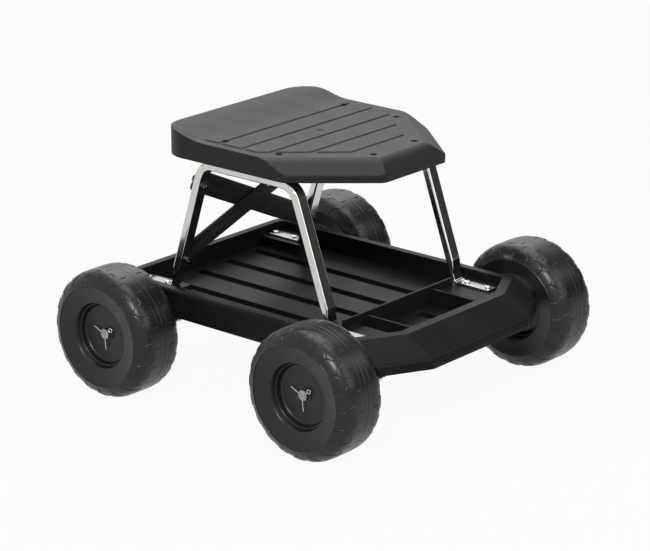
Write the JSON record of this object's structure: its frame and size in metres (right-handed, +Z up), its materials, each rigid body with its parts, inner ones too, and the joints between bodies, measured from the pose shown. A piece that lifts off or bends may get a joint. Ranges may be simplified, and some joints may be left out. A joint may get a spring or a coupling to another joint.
{
  "type": "rolling garden seat",
  "caption": "Low garden work seat on a moulded tool tray with wide free-rolling wheels, bent tube side frames and a crossed rear brace.",
  "frame": {"origin": "on the floor under the middle of the whole object's box", "axes": "+X forward to the tray's bumper nose, +Y to the sitter's left along the axles, +Z up"},
  "size_m": [0.602, 0.601, 0.4045],
  "materials": {
    "moulded_black_plastic": "fine satin moulded grain",
    "wheel_plastic": "blow-moulded, satin",
    "bush_plastic": "plain moulded",
    "chromed_tube": "polished chrome plate",
    "black_strap_paint": "satin black powder coat",
    "zinc_steel": "bright zinc plate",
    "black_steel": "blackened steel"
  },
  "bodies": {
    "chassis": {"seat_shell": "moulded_black_plastic", "seat_base": "moulded_black_plastic", "tool_tray": "moulded_black_plastic", "seat_screws": "black_steel", "seat_bolts": "zinc_steel", "seat_nuts": "zinc_steel", "right_side_frame": "chromed_tube", "left_side_frame": "chromed_tube", "rear_brace_strap": "black_strap_paint", "front_brace_strap": "black_strap_paint", "brace_bolts": "zinc_steel", "brace_nuts": "zinc_steel", "brace_spacers": "black_steel", "foot_bolts": "zinc_steel", "foot_nuts": "zinc_steel", "axle_clamp_bolts": "zinc_steel", "front_axle": "zinc_steel", "rear_axle": "zinc_steel", "front_right_axle_spacer": "black_steel", "front_right_split_pin": "zinc_steel", "front_right_axle_clamp": "black_strap_paint", "front_left_axle_spacer": "black_steel", "front_left_split_pin": "zinc_steel", "front_left_axle_clamp": "black_strap_paint", "rear_right_axle_spacer": "black_steel", "rear_right_split_pin": "zinc_steel", "rear_right_axle_clamp": "black_strap_paint", "rear_left_axle_spacer": "black_steel", "rear_left_split_pin": "zinc_steel", "rear_left_axle_clamp": "black_strap_paint"},
    "front_right_wheel_set": {"front_right_wheel": "wheel_plastic", "front_right_hub_bush": "bush_plastic"},
    "front_left_wheel_set": {"front_left_wheel": "wheel_plastic", "front_left_hub_bush": "bush_plastic"},
    "rear_right_wheel_set": {"rear_right_wheel": "wheel_plastic", "rear_right_hub_bush": "bush_plastic"},
    "rear_left_wheel_set": {"rear_left_wheel": "wheel_plastic", "rear_left_hub_bush": "bush_plastic"}
  },
  "joints": [
    {"name": "front_right_wheel_spin", "type": "hinge", "parent": "chassis", "child": "front_right_wheel_set", "pos_m": [0.195, -0.256, 0.1], "axis": [0, 1, 0], "continuous": true},
    {"name": "front_left_wheel_spin", "type": "hinge", "parent": "chassis", "child": "front_left_wheel_set", "pos_m": [0.195, 0.256, 0.1], "axis": [0, 1, 0], "continuous": true},
    {"name": "rear_right_wheel_spin", "type": "hinge", "parent": "chassis", "child": "rear_right_wheel_set", "pos_m": [-0.201, -0.256, 0.1], "axis": [0, 1, 0], "continuous": true},
    {"name": "rear_left_wheel_spin", "type": "hinge", "parent": "chassis", "child": "rear_left_wheel_set", "pos_m": [-0.201, 0.256, 0.1], "axis": [0, 1, 0], "continuous": true}
  ]
}
